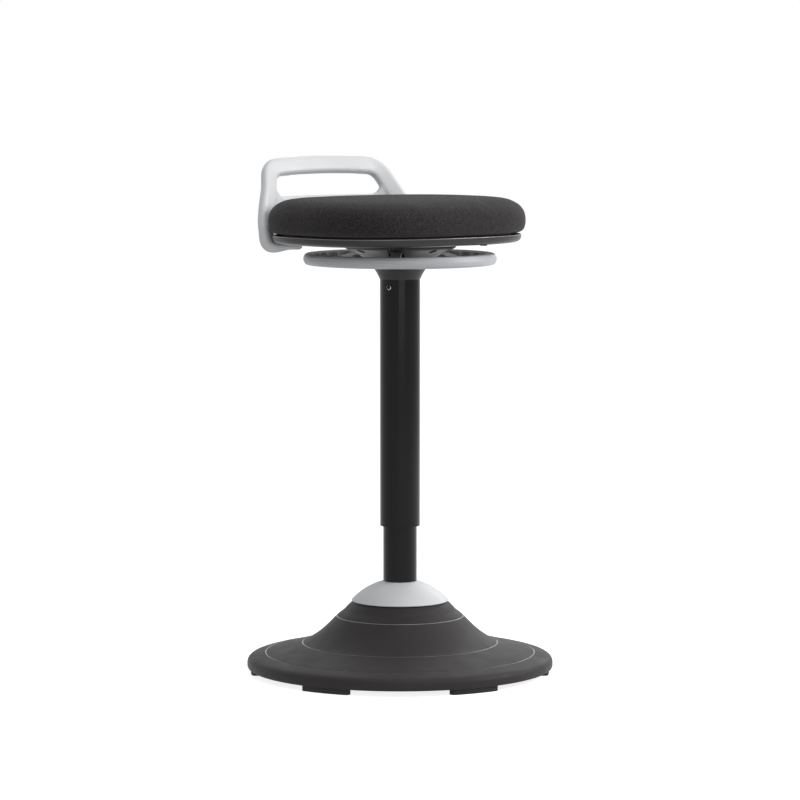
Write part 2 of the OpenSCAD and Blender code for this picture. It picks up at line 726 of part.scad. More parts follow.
module rod_clip() {
    color(bright_steel) difference() {
        ring(clip_r, groove_neck_r + run_gap, clip_z, clip_t);
        translate([0, -clip_mouth / 2, clip_z - cut]) cube([clip_r + cut, clip_mouth, clip_t + 2 * cut]);
    }
}

module gas_cylinder() {
    color(black_steel) difference() {
        union() {
            disc(cylinder_r, cylinder_z, taper_z - cylinder_z);
            translate([0, 0, taper_z]) cylinder(r1 = cylinder_r, r2 = taper_r, h = cylinder_top - taper_z);
        }
        disc(rod_r + run_gap, cylinder_z - cut, cylinder_cap + 2 * cut);
        disc(cylinder_r - cylinder_wall, cylinder_z + cylinder_cap,
            pin_z - valve_t - cylinder_z - cylinder_cap);
        disc(pin_r + run_gap, pin_z - pin_drop_room, cylinder_top - pin_z + pin_drop_room + cut);
    }
}

module release_pin() {
    color(bright_steel) disc(pin_r, pin_z, pin_top - pin_z);
}

// Upper tube and hub

module outer_tube() {
    color(black_steel) difference() {
        ring(outer_tube_r, outer_in_r, outer_tube_low, tube_top - outer_tube_low);
        tube_screw_at() small_rod(tube_screw_d + 2 * run_gap, 0, outer_tube_r + cut);
    }
}

module tube_screw_at() {
    translate([0, 0, hub_low_z - tube_screw_drop]) rotate(up * tube_screw_angle) rotate([0, 90, 0])
        children();
}

module lower_guide_bush() {
    color(natural_nylon) ring(outer_in_r - run_gap, tube_r + run_gap, outer_tube_low, bush_h);
}

module tube_screw() {
    start = cylinder_r + tube_screw_end_gap;
    head_end = outer_tube_r + tube_screw_head_h;
    color(bright_steel) difference() {
        tube_screw_at() {
            small_rod(tube_screw_d, start, head_end - tube_screw_head_h / 2 - start);
            small_rod(tube_screw_head_d, outer_tube_r, tube_screw_head_h);
        }
        tube_screw_at() translate([0, 0, head_end - tube_screw_socket_h])
            cylinder(d = tube_screw_d * 0.7, h = tube_screw_socket_h + cut, $fn = 6);
    }
}

module hub() {
    line = smooth(trumpet, 3);
    color(dark_plastic) difference() {
        union() {
            ring(collar_r, cylinder_r + run_gap, hub_low_z - collar_h, collar_h + cut);
            rotate_extrude() polygon(concat(line,
                [[flange_hub_r, pan_low_z], [flange_hub_r, pan_floor_top], [hub_top_in_r, pan_floor_top],
                    [hub_top_in_r, pan_low_z]],
                reversed([for (p = line) if (p[1] < pan_low_z - hub_wall)
                    [max(p[0] - hub_wall, cylinder_r + run_gap), p[1] + hub_wall * 0.6]]),
                [[cylinder_r + run_gap, hub_low_z]]));
        }
        around(4, 0, hub_turn) translate([cylinder_r + hub_wall, -hub_window_w / 2, window_low_z])
            cube([window_reach - cylinder_r - hub_wall, hub_window_w, window_top_z - window_low_z]);
        around(4, hub_bolt_pcd / 2) {
            small_rod(hub_bolt_d + 2 * run_gap, hub_bolt_seat_z - cut,
                pan_floor_top - hub_bolt_seat_z + 2 * cut);
            small_rod(hub_bolt_head_d + 2 * free_gap, hub_bolt_seat_z - 3 * hub_bolt_head_h,
                3 * hub_bolt_head_h);
        }
        tube_screw_at() small_rod(tube_screw_d + 2 * run_gap, 0, outer_tube_r + cut);
    }
}

module seat_plate() {
    half = seat_plate_w / 2 - plate_corner_r;
    color(black_steel) difference() {
        union() {
            translate([0, 0, plate_z]) linear_extrude(seat_plate_t)
                rounded_square(seat_plate_w, plate_corner_r);
            for (side = [-1, 1]) lug(side * ear_x, ear_t, plate_top);
        }
        disc(plate_hole_r, plate_z - cut, seat_plate_t + 2 * cut);
        across(fulcrum_z, lever_pin_r + run_gap, 2 * (ear_x + ear_t + cut));
        around(4, hub_bolt_pcd / 2)
            small_rod(hub_bolt_d + 2 * run_gap, plate_z - cut, seat_plate_t + 2 * cut);
        pan_screw_spots() small_rod(pan_screw_d + 2 * run_gap, plate_z - cut, seat_plate_t + 2 * cut);
    }
}
module rounded_square(w, r) {
    square([w, w - 2 * r], center = true);
    square([w - 2 * r, w], center = true);
    for (x = [-1, 1], y = [-1, 1]) translate([x * (w / 2 - r), y * (w / 2 - r)]) circle(r = r);
}
// A lug round the fulcrum's axis that reaches up or down to z
module lug(x, t, z) {
    translate([x - t / 2, fulcrum_y, 0]) {
        translate([0, -lug_r, min(z, fulcrum_z)]) cube([t, 2 * lug_r, abs(z - fulcrum_z)]);
        translate([0, 0, fulcrum_z]) rotate([0, 90, 0]) cylinder(r = lug_r, h = t, $fn = small_fn);
    }
}
// A round bar through the fulcrum, side to side
module across(z, r, length) {
    translate([-length / 2, fulcrum_y, z]) rotate([0, 90, 0]) cylinder(r = r, h = length, $fn = small_fn);
}
module pan_screw_spots() {
    at = seat_plate_w / 2 - pan_screw_inset;
    for (x = [-1, 1], y = [-1, 1]) translate([x * at, y * at, 0]) children();
}

module hub_bolts() {
    color(bright_steel) around(4, hub_bolt_pcd / 2)
        screw_up(hub_bolt_d, hub_bolt_head_d, hub_bolt_head_h, hub_bolt_seat_z,
            board_z + board_t - hub_bolt_seat_z - cut);
}

module lever_pivot_pin() {
    color(bright_steel) across(fulcrum_z, lever_pin_r, 2 * (ear_x + ear_t));
}

// Seat

module seat_pan() {
    outer = [for (s = pan_shares) [s[0] * pan_h, pan_low_z + s[1] * pan_h]];
    inner = [for (s = reversed(pan_shares)) [s[0] * pan_h + pan_wall,
        pan_low_z + s[1] * pan_h + pan_wall * (1 - s[1])]];
    rings = [for (level = concat(outer, inner)) plan_ring(level[0], level[1])];
    color(dark_plastic) difference() {
        polyhedron([for (r = rings, p = r) p], loft_faces(len(rings), seat_sides), convexity = 6);
        disc(pan_hole_r, pan_low_z - cut, pan_wall + 2 * cut);
        pan_screw_spots() small_rod(pan_screw_d + 2 * free_gap, pan_low_z - cut, pan_wall + 2 * cut);
        handle_screw_spots() small_rod(handle_screw_d + 2 * free_gap, pan_low_z - cut, pan_wall + 2 * cut);
    }
}

module pan_screws() {
    color(black_steel) pan_screw_spots()
        screw_up(pan_screw_d, pan_screw_head_d, pan_screw_head_h, pan_low_z,
            board_z + board_t - pan_low_z - cut);
}

module seat_board() {
    color(black_steel) difference() {
        translate([0, 0, board_z]) linear_extrude(board_t) plan_area(board_inset);
        around(4, hub_bolt_pcd / 2) small_rod(hub_bolt_d + 2 * run_gap, board_z - cut, board_t + 2 * cut);
        pan_screw_spots() small_rod(pan_screw_d + 2 * run_gap, board_z - cut, board_t + 2 * cut);
        handle_screw_spots() small_rod(handle_screw_d + 2 * run_gap, board_z - cut, board_t + 2 * cut);
    }
}

module cushion() {
    rings = [for (s = cushion_shares) plan_ring(s[0] * cushion_h, seam_z + s[1] * cushion_h)];
    color(charcoal_fabric)
        polyhedron([for (r = rings, p = r) p], loft_faces(len(rings), seat_sides), convexity = 2);
}

// Handle

module handle() {
    rings = [for (i = [0 : len(handle_line) - 1]) band_ring(handle_line[i], tangent(handle_line, i))];
    middle = seat_sides / 4 - 0.5;
    panel = [for (i = [-panel_steps : 2 : panel_steps])
        panel_ring(middle + panel_turn_steps * i / panel_steps)];
    color(pale_plastic) difference() {
        union() {
            polyhedron([for (r = rings, p = r) p], loft_faces(len(rings), handle_sides), convexity = 8);
            polyhedron([for (r = panel, p = r) p], loft_faces(len(panel), len(panel[0])), convexity = 4);
        }
        handle_screw_spots() {
            small_rod(handle_screw_d + 2 * run_gap, foot_low_z - handle_t, 2 * handle_t);
            small_rod(handle_screw_head_d + 2 * free_gap, foot_low_z - handle_t,
                handle_t + handle_screw_head_h);
        }
    }
}
module handle_screw_spots() {
    for (side = [-1, 1]) translate([side * handle_screw_at[0], handle_screw_at[1], 0]) children();
}

module handle_screws() {
    color(bright_steel) handle_screw_spots()
        screw_up(handle_screw_d, handle_screw_head_d, handle_screw_head_h,
            foot_low_z + handle_screw_head_h, board_z + board_t - foot_low_z - handle_screw_head_h - cut);
}

// Release ring: an inward channel with ribs, four spokes and the lever over the gas spring

module release_ring() {
    in_r = ring_r - ring_depth;
    mid_z = ring_low_z + ring_h / 2;
    rib_h = ring_h - ring_wall;
    color(grey_plastic) {
        rotate_extrude() polygon(concat(
            [for (i = [0 : 6]) let (a = -90 + 30 * i)
                [ring_r - rim_round + rim_round * cos(a), mid_z + ring_h / 2 * sin(a)]],
            [[in_r, ring_top], [in_r, ring_top - ring_wall], [ring_r - rim_round, ring_top - ring_wall],
                [ring_r - ring_wall, mid_z], [ring_r - rim_round, ring_low_z + ring_wall],
                [in_r, ring_low_z + ring_wall], [in_r, ring_low_z]]));
        for (i = [0 : ring_rib_count - 1]) rotate(up * 360 / ring_rib_count * (i + 0.5))
            translate([in_r + rib_set_back, -ring_wall / 2, mid_z - rib_h / 2])
                cube([ring_depth - rib_set_back - rim_round, ring_wall, rib_h]);
        for (i = [0 : 3]) rotate(up * (hub_turn + 90 * i)) spoke();
        ring(collar_in_r + collar_wall, collar_in_r, ring_collar_z, ring_collar_t);
        difference() {
            for (side = [-1, 1]) lug(side * lug_x, lug_t, ring_collar_z + ring_collar_t / 2);
            across(fulcrum_z, lever_pin_r + run_gap, 2 * (lug_x + lug_t));
        }
        for (side = [-1, 1])
            translate([side * (collar_in_r + bridge_post) - bridge_post / 2, -bridge_w / 2, ring_collar_z])
                cube([bridge_post, bridge_w, bridge_low + bridge_t - ring_collar_z]);
        translate([-collar_in_r - bridge_post, -bridge_w / 2, bridge_low])
            cube([2 * (collar_in_r + bridge_post), bridge_w, bridge_t]);
    }
}
module spoke() {
    line = smooth([for (s = spoke_line_shares) [spoke_out_r - s[0] * (spoke_out_r - spoke_in_r),
        spoke_low_z + s[1] * (ring_collar_z - spoke_low_z)]], 2);
    difference() {
        intersection() {
            rotate([90, 0, 0]) translate([0, 0, -spoke_wide]) linear_extrude(2 * spoke_wide)
                polygon(concat(line, [for (p = reversed(line)) [p[0], p[1] + spoke_t]]));
            linear_extrude(fulcrum_z) polygon([[spoke_out_r, spoke_wide / 2],
                [spoke_out_r - ring_depth, spoke_root_w / 2], [spoke_neck_r, spoke_narrow / 2],
                [0, spoke_narrow / 2], [0, -spoke_narrow / 2], [spoke_neck_r, -spoke_narrow / 2],
                [spoke_out_r - ring_depth, -spoke_root_w / 2], [spoke_out_r, -spoke_wide / 2]]);
        }
        rotate(up * -crescent_len_angle / 2) rotate_extrude(angle = crescent_len_angle)
            translate([ring_r - crescent_inset - crescent_w, ring_low_z]) square([crescent_w, ring_h]);
    }
}

base_cover();
bottom_plate();
ballast_plate();
foot_pads();
cover_screws();
pivot_socket();
pivot_retainer();
pivot_bolts();
lower_rubber_ring();
upper_rubber_ring();
ball_liner();
pivot_ball();
column_foot();
inner_tube();
tilt_cap();
upper_guide_bush();
lower_bearing_race();
bearing_balls();
upper_bearing_race();
gas_rod();
rod_clip();
gas_cylinder();
outer_tube();
lower_guide_bush();
tube_screw();
hub();
seat_plate();
hub_bolts();
lever_pivot_pin();
seat_pan();
pan_screws();
seat_board();
cushion();
handle();
handle_screws();
release_ring();
release_pin();
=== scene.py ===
"""Looks of a height-adjustable perch stool: finish, soft parts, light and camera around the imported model."""

import math

import bmesh
import bpy
import numpy as np
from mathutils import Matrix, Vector


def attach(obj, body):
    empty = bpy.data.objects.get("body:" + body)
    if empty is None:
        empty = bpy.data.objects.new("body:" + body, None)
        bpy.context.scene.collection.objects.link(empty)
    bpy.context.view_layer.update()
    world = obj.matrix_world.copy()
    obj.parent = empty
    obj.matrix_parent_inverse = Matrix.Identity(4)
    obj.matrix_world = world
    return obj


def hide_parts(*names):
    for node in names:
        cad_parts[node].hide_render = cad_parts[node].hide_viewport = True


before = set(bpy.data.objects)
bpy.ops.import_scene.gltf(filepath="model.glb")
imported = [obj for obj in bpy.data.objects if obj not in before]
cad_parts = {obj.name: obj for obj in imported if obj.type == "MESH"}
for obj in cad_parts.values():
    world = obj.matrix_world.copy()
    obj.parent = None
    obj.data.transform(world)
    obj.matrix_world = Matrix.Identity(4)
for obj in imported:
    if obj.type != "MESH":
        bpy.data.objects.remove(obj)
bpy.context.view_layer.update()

MM = 0.001  # shapes are given in mm, and become metres with this
UP = Vector((0, 0, 1))


# Helpers: curves and meshes


def smooth(points, steps):
    """A smooth curve through points, with a number of steps between neighbours."""
    points = np.array(points, float)
    last = len(points) - 1
    curve = []
    for i in range(last):
        a, b, c, d = (points[min(max(k, 0), last)] for k in (i - 1, i, i + 1, i + 2))
        for t in np.arange(steps) / steps:
            bend = (2 * a - 5 * b + 4 * c - d) * t * t + (3 * b - a - 3 * c + d) * t**3
            curve.append(0.5 * (2 * b + (c - a) * t + bend))
    return np.array(curve + [points[last]])


def arc(centre, radius, start, end, steps):
    """Points on an arc in a plane, with angles in degrees."""
    angles = np.radians(np.linspace(start, end, steps + 1))
    return [(centre[0] + radius * math.cos(a), centre[1] + radius * math.sin(a)) for a in angles]


def make(name, vertices, faces, body, node=None, soft_angle=None):
    """A mesh object that rides on a body and may stand for a node."""
    mesh = bpy.data.meshes.new(name)
    mesh.from_pydata([tuple(v) for v in vertices], [], faces)
    mesh.validate()
    piece = bpy.data.objects.new(name, mesh)
    bpy.context.scene.collection.objects.link(piece)
    tidy_normals(mesh)
    shade(piece, soft_angle)
    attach(piece, body)
    if node:
        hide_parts(node)
    return piece


def tidy_normals(mesh):
    work = bmesh.new()
    work.from_mesh(mesh)
    bmesh.ops.recalc_face_normals(work, faces=work.faces)
    work.to_mesh(mesh)
    work.free()


def shade(piece, soft_angle=None):
    """Smooth shading, with edges sharper than soft_angle degrees kept crisp."""
    mesh = piece.data
    mesh.polygons.foreach_set("use_smooth", [True] * len(mesh.polygons))
    if soft_angle is None:
        return
    work = bmesh.new()
    work.from_mesh(mesh)
    for edge in work.edges:
        edge.smooth = edge.calc_face_angle(0) < math.radians(soft_angle)
    work.to_mesh(mesh)
    work.free()


def baked(piece):
    """Applies a piece's modifiers to its mesh."""
    graph = bpy.context.evaluated_depsgraph_get()
    mesh = bpy.data.meshes.new_from_object(piece.evaluated_get(graph))
    piece.modifiers.clear()
    piece.data = mesh
    shade(piece)


def modifier(piece, kind, **values):
    added = piece.modifiers.new(kind.lower(), kind)
    for key, value in values.items():
        setattr(added, key, value)
    return added


def lathe(name, outline, body, node, sides, soft_angle):
    """A body turned about the column's axis from a closed outline of (radius, height) points."""
    count = len(outline)
    turns = np.arange(sides) / sides * math.tau
    vertices = [(r * math.cos(t), r * math.sin(t), z) for t in turns for r, z in outline]
    faces = [
        tuple(turn % sides * count + row % count
              for turn, row in ((s, k), (s + 1, k), (s + 1, k + 1), (s, k + 1)))
        for s in range(sides)
        for k in range(count)
    ]
    return make(name, vertices, faces, body, node, soft_angle)


def skin(rings, joined=False):
    """Points and faces between neighbouring rings; joined also ties the last ring to the first."""
    rows, sides = len(rings), len(rings[0])
    faces = [
        tuple(row % rows * sides + turn % sides
              for row, turn in ((r, s), (r, s + 1), (r + 1, s + 1), (r + 1, s)))
        for r in range(rows if joined else rows - 1)
        for s in range(sides)
    ]
    return [p for ring in rings for p in ring], faces


def loft(name, rings, body, node=None):
    """A closed body through equal rings of points, with flat ends."""
    vertices, faces = skin(rings)
    sides = len(rings[0])
    faces += [tuple(range(sides))[::-1], tuple((len(rings) - 1) * sides + s for s in range(sides))]
    return make(name, vertices, faces, body, node)


# Camera: a long lens a little above the seat, seen from the seat's left front

LENS = 166.5
FILM_W = 36
CAMERA_TURN = math.radians(-40)
CAMERA_DROP = math.radians(5.19)
CAMERA_AWAY = 4.619
CAMERA_HEIGHT = 0.7636


def add_camera():
    camera = bpy.data.objects.new("camera", bpy.data.cameras.new("camera"))
    camera.data.lens = LENS
    camera.data.sensor_width = FILM_W
    away = (math.sin(CAMERA_TURN), -math.cos(CAMERA_TURN))
    camera.location = (CAMERA_AWAY * away[0], CAMERA_AWAY * away[1], CAMERA_HEIGHT)
    camera.rotation_euler = (math.pi / 2 - CAMERA_DROP, 0, CAMERA_TURN)
    bpy.context.scene.collection.objects.link(camera)
    bpy.context.scene.camera = camera


add_camera()


# Materials: colours are linear, sizes in metres


def material(name, colour, roughness, metallic=0.0, **sockets):
    """A material with its shader, ready for detail."""
    finish = bpy.data.materials.new(name)
    finish.use_nodes = True
    shader = finish.node_tree.nodes["Principled BSDF"]
    shader.inputs["Base Color"].default_value = (*colour, 1)
    shader.inputs["Roughness"].default_value = roughness
    shader.inputs["Metallic"].default_value = metallic
    for socket, value in sockets.items():
        shader.inputs[socket.replace("_", " ")].default_value = value
    return finish, finish.node_tree, shader


def node(tree, kind, **values):
    """A shader node with its properties and unlinked inputs set."""
    added = tree.nodes.new(kind)
    for key, value in values.items():
        if hasattr(added, key):
            setattr(added, key, value)
        else:
            added.inputs[key.replace("_", " ")].default_value = value
    return added


def place(tree):
    return node(tree, "ShaderNodeTexCoord").outputs["Object"]


def noise(tree, scale, detail):
    """Procedural noise in object space."""
    texture = node(tree, "ShaderNodeTexNoise", Scale=scale, Detail=detail)
    tree.links.new(place(tree), texture.inputs["Vector"])
    return texture.outputs["Fac"]


def ramp(tree, factor, stops):
    """Maps a factor to colours or greys through stops of (position, colour)."""
    added = node(tree, "ShaderNodeValToRGB")
    elements = added.color_ramp.elements
    while len(elements) < len(stops):
        elements.new(0.5)
    for element, (position, colour) in zip(elements, stops):
        element.position = position
        element.color = (*colour, 1) if hasattr(colour, "__len__") else (colour, colour, colour, 1)
    tree.links.new(factor, added.inputs["Fac"])
    return added.outputs["Color"]


def bump(tree, shader, height, distance, strength=1.0):
    added = node(tree, "ShaderNodeBump", Strength=strength, Distance=distance)
    tree.links.new(height, added.inputs["Height"])
    tree.links.new(added.outputs["Normal"], shader.inputs["Normal"])


def vary(colour, amount):
    return tuple(c * amount for c in colour)


def calc(tree, operation, *operands):
    """A math node; each operand is a number or another node's output."""
    added = node(tree, "ShaderNodeMath", operation=operation)
    for slot, operand in zip(added.inputs, operands):
        if isinstance(operand, (int, float)):
            slot.default_value = operand
        else:
            tree.links.new(operand, slot)
    return added.outputs[0]


# Sizes of the noise, per metre: patches in colour, patches in gloss, and the cloth's flecks and slubs
PATCH, GLOSS_PATCH = 9.0, 36.0
FLECK, SLUB = 640.0, 210.0
TONE_LOW, TONE_HIGH = 0.3, 0.7
GLOSS_LOW, GLOSS_HIGH = 0.25, 0.75
SMOOTHER, ROUGHER = 0.05, 0.06
CLOTH_LOW, CLOTH_HIGH = 0.36, 0.64
FLECK_SHARE, SLUB_SHARE, SLUB_RISE = 0.8, 0.2, 0.6
THREAD_PITCH, THREAD_RISE = 1.15 * MM, 0.32 * MM


def mottled(name, colour, roughness, grain, depth, spread, metallic=0.0, **sockets):
    """A moulded, cast or coated surface: fine grain, soft patches in colour and gloss."""
    finish, tree, shader = material(name, colour, roughness, metallic, **sockets)
    tones = [(TONE_LOW, vary(colour, 1 - spread)), (TONE_HIGH, vary(colour, 1 + spread))]
    tone = ramp(tree, noise(tree, PATCH, detail=4.0), tones)
    tree.links.new(tone, shader.inputs["Base Color"])
    levels = [(GLOSS_LOW, roughness - SMOOTHER), (GLOSS_HIGH, roughness + ROUGHER)]
    gloss = ramp(tree, noise(tree, GLOSS_PATCH, detail=5.0), levels)
    tree.links.new(gloss, shader.inputs["Roughness"])
    bump(tree, shader, noise(tree, grain, detail=2.0), depth)
    return finish


def fabric(name, dark, light):
    """Close-woven upholstery cloth: threads over and under on a fine grid, flecked, with a soft sheen."""
    finish, tree, shader = material(name, dark, roughness=0.92, Sheen_Weight=0.1, Sheen_Roughness=0.5,
                                    Specular_IOR_Level=0.18)
    links = tree.links
    where = place(tree)
    normal = node(tree, "ShaderNodeSeparateXYZ")
    links.new(node(tree, "ShaderNodeTexCoord").outputs["Normal"], normal.inputs["Vector"])
    shares = []
    for axis, turn in (("Z", (0, 0, 0)), ("Y", (math.pi / 2, 0, 0)), ("X", (0, math.pi / 2, 0))):
        mapping = node(tree, "ShaderNodeMapping", Rotation=turn, Scale=(1 / THREAD_PITCH,) * 3)
        links.new(where, mapping.inputs["Vector"])
        checker = node(tree, "ShaderNodeTexChecker", Scale=1.0)
        links.new(mapping.outputs["Vector"], checker.inputs["Vector"])
        split = node(tree, "ShaderNodeSeparateXYZ")
        links.new(mapping.outputs["Vector"], split.inputs["Vector"])
        over, under = (
            calc(tree, "ABSOLUTE", calc(tree, "SINE", calc(tree, "MULTIPLY", split.outputs[along], math.pi)))
            for along in "XY"
        )
        weave = node(tree, "ShaderNodeMix", data_type="FLOAT")
        links.new(checker.outputs["Fac"], weave.inputs["Factor"])
        links.new(over, weave.inputs["A"])
        links.new(under, weave.inputs["B"])
        facing = calc(tree, "MULTIPLY", normal.outputs[axis], normal.outputs[axis])
        shares.append(calc(tree, "MULTIPLY", facing, weave.outputs["Result"]))
    threads = calc(tree, "ADD", calc(tree, "ADD", shares[0], shares[1]), shares[2])
    slubs = noise(tree, SLUB, detail=3.0)
    flecks = noise(tree, FLECK, detail=2.0)
    tone = calc(tree, "MULTIPLY_ADD", flecks, FLECK_SHARE, calc(tree, "MULTIPLY", slubs, SLUB_SHARE))
    links.new(ramp(tree, tone, [(CLOTH_LOW, dark), (CLOTH_HIGH, light)]), shader.inputs["Base Color"])
    bump(tree, shader, calc(tree, "MULTIPLY_ADD", slubs, SLUB_RISE, threads), THREAD_RISE, strength=0.9)
    return finish


# Each finish with the record's slot that it belongs to. Moulded, cast and coated ones give their colour,
# roughness, grain per metre and depth of the grain.
FINISHES = {
    "fabric": (fabric("charcoal_cloth", (0.0085, 0.0071, 0.0077), (0.038, 0.0332, 0.0349)), "seat_fabric"),
    "dark": (mottled("dark_moulding", (0.0225, 0.0198, 0.0216), 0.56, 2600.0, 0.05 * MM, spread=0.05,
                     Specular_IOR_Level=0.22), "moulding_dark"),
    # A light colour painted along the grooves and the pan's lip as a highlight, in place of the light they
    # catch
    "painted_highlight": (mottled("painted_highlight_lines", (0.16, 0.16, 0.165), 0.24, 2600.0, 0.01 * MM, spread=0.05),
               "moulding_dark"),
    "hub": (mottled("hub_moulding", (0.038, 0.0372, 0.038), 0.46, 2600.0, 0.05 * MM, spread=0.06,
                    Specular_IOR_Level=0.2), "moulding_dark"),
    "pan": (mottled("pan_moulding", (0.023, 0.0225, 0.023), 0.38, 2600.0, 0.05 * MM, spread=0.06,
                    Specular_IOR_Level=0.26), "moulding_dark"),
    "pale": (mottled("pale_moulding", (0.63, 0.64, 0.655), 0.45, 3200.0, 0.02 * MM, spread=0.015),
             "moulding_pale"),
    "grey": (mottled("grey_moulding", (0.42, 0.432, 0.45), 0.42, 3200.0, 0.02 * MM, spread=0.02),
             "moulding_grey"),
    "black": (mottled("black_powder_coat", (0.0065, 0.0056, 0.006), 0.13, 1900.0, 0.003 * MM, spread=0.05,
                      Specular_IOR_Level=0.15), "steel_black"),
    "bright": (mottled("bright_steel", (0.5, 0.5, 0.51), 0.33, 1500.0, 0.01 * MM, spread=0.05,
                       metallic=1.0), "steel_bright"),
    "iron": (mottled("cast_iron", (0.045, 0.045, 0.048), 0.62, 900.0, 0.25 * MM, spread=0.2, metallic=0.6),
             "iron_cast"),
    "rubber": (mottled("black_rubber", (0.012, 0.012, 0.012), 0.78, 1700.0, 0.06 * MM, spread=0.1),
               "rubber_black"),
    "nylon": (mottled("natural_nylon", (0.66, 0.64, 0.57), 0.46, 1500.0, 0.02 * MM, spread=0.03),
              "nylon_natural"),
    "board": (mottled("moulded_board", (0.10, 0.085, 0.07), 0.7, 700.0, 0.1 * MM, spread=0.15), "board_ply"),
}

NODE_FINISHES = {
    "dark": ["base_cover"],
    "hub": ["hub"],
    "pan": ["seat_pan"],
    "pale": ["tilt_cap", "handle"],
    "grey": ["release_ring"],
    "black": ["inner_tube", "outer_tube", "column_foot", "gas_cylinder", "seat_plate", "bottom_plate",
              "pan_screws", "cover_screws", "pivot_socket", "pivot_retainer"],
    "bright": ["pivot_bolts", "pivot_ball", "lower_bearing_race", "bearing_balls", "upper_bearing_race",
               "gas_rod", "rod_clip", "tube_screw", "hub_bolts", "lever_pivot_pin", "handle_screws",
               "release_pin"],
    "iron": ["ballast_plate"],
    "rubber": ["foot_pads", "lower_rubber_ring", "upper_rubber_ring"],
    "nylon": ["ball_liner", "upper_guide_bush", "lower_guide_bush"],
    "board": ["seat_board"],
    "fabric": ["cushion"],
}


def dress(piece, *finishes):
    """Gives a new piece its finishes."""
    piece.data.materials.clear()
    for finish in finishes:
        piece.data.materials.append(FINISHES[finish][0])


# CAD pieces that stay: their finish, and a small round on the edges that show
ROUNDED = {"release_ring": 0.7, "hub": 0.6, "outer_tube": 0.5, "inner_tube": 0.4, "foot_pads": 0.6,
           "bottom_plate": 0.3, "seat_plate": 0.3}
ROUND_FROM = math.radians(38)

for finish_name, names in NODE_FINISHES.items():
    for name in names:
        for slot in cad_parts[name].material_slots:
            slot.material = FINISHES[finish_name][0]

for name, width in ROUNDED.items():
    modifier(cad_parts[name], "BEVEL", width=width * MM, segments=2, limit_method="ANGLE",
             angle_limit=ROUND_FROM, harden_normals=False)


# Foot: the cover with its grooves, and the pale cap

TILT_Z = 20.8
CROWN_R = 91.57
CROWN_MOUTH, CROWN_END = 23.4, 50.2
BELL = [(70.3, 79.4), (79.4, 72.3), (87.8, 63.8), (97.8, 54.2), (109.9, 45.1), (122.7, 38.3), (145.0, 32.1),
        (169.2, 26.2), (180.5, 23.7), (187.0, 21.7), (190.4, 19.3), (192.1, 16.2), (192.5, 12.8)]
GROOVES = [79.6, 122.8, 169.2]
GROOVE_W, GROOVE_D = 0.9, 0.6
GROOVE_STEPS = ((-1, 0), (-0.6, 0.75), (0, 1), (0.6, 0.75), (1, 0))  # shares of its width and depth
# Smooth points keep the first of these from a groove; upward faces within the second get a painted highlight
GROOVE_CLEAR, GROOVE_PAINTED_HIGHLIGHT = 1.3 * GROOVE_W, 0.75 * GROOVE_W
FACING_UP = 0.1
RIM_OUT = [(192.4, 9.6), (191.6, 7.7), (190.6, 7.0)]
RIM_IN = [(190.0, 7.0), (189.5, 7.5), (189.5, 17.2)]
WALL_IN, WALL_DOWN = 1.8, 2.7
CROWN_WALL = 3.0


def grooved(outline):
    """Cuts the fine grooves into the bell's outline."""
    cut = []
    for (r0, z0), (r1, z1) in zip(outline, outline[1:]):
        cut.append((r0, z0))
        for r in GROOVES:
            if r0 <= r < r1:
                slope = (z1 - z0) / (r1 - r0)
                level = z0 + slope * (r - r0)
                length = math.hypot(1, slope)
                along = (1 / length, slope / length)
                inward = (slope / length, -1 / length)
                for step, deep in GROOVE_STEPS:
                    s, d = step * GROOVE_W, deep * GROOVE_D
                    cut.append((r + along[0] * s + inward[0] * d, level + along[1] * s + inward[1] * d))
    return cut + [outline[-1]]


def add_cover():
    crown = arc((0, TILT_Z), CROWN_R, 90 - CROWN_MOUTH, 90 - CROWN_END, steps=16)
    bell = [tuple(p) for p in smooth(BELL, steps=6)]
    bell = [p for p in bell if min(abs(p[0] - g) for g in GROOVES) > GROOVE_CLEAR]
    outer = crown[:-1] + grooved(bell) + RIM_OUT
    inner = RIM_IN + [(r - WALL_IN, z - WALL_DOWN) for r, z in reversed(bell[:-3:4])]
    inner += arc((0, TILT_Z), CROWN_R - CROWN_WALL, 90 - CROWN_END, 90 - CROWN_MOUTH, steps=12)
    outline = [(r * MM, z * MM) for r, z in outer + inner]
    cover = lathe("foot_cover", outline, "base", "base_cover", sides=256, soft_angle=32)
    dress(cover, "dark", "painted_highlight")
    # Upward faces along each groove get the light finish: a painted highlight for the light the groove catches
    for face in cover.data.polygons:
        x, y, z = face.center / MM
        r = math.hypot(x, y)
        near = min(abs(r - g) for g in GROOVES) < GROOVE_PAINTED_HIGHLIGHT
        face.material_index = 1 if near and face.normal.z > FACING_UP else 0


CAP_CENTRE_Z, CAP_R, CAP_WALL = 35.93, 82.85, 1.5
CAP_TOP, CAP_EDGE = 14.9, 47.4
CAP_LIP, CAP_ROUND_OUT, CAP_ROUND_DOWN = 0.3, 0.3, 0.35


def add_cap():
    top = arc((0, CAP_CENTRE_Z), CAP_R, 90 - CAP_TOP, 90 - CAP_EDGE, steps=28)
    low = arc((0, CAP_CENTRE_Z), CAP_R - CAP_WALL, 90 - CAP_EDGE, 90 - CAP_TOP - CAP_LIP, steps=20)
    edge_r, edge_z = ((a + b) / 2 for a, b in zip(top[-1], low[0]))
    middle = [(edge_r + CAP_ROUND_OUT, edge_z - CAP_ROUND_DOWN)]
    outline = [(r * MM, z * MM) for r, z in top + middle + low]
    cap = lathe("column_cap", outline, "column", "tilt_cap", sides=192, soft_angle=50)
    dress(cap, "pale")


add_cover()
add_cap()


# Handle: a rounded band swept along one smooth line, with a panel between its legs under the slot

# The seat's plan: width, depth, shift to the back, and the power of its rounded outline
SEAT_W, SEAT_DEPTH, SEAT_SHIFT, SEAT_N = 326.0, 266.0, 4.7, 2.5
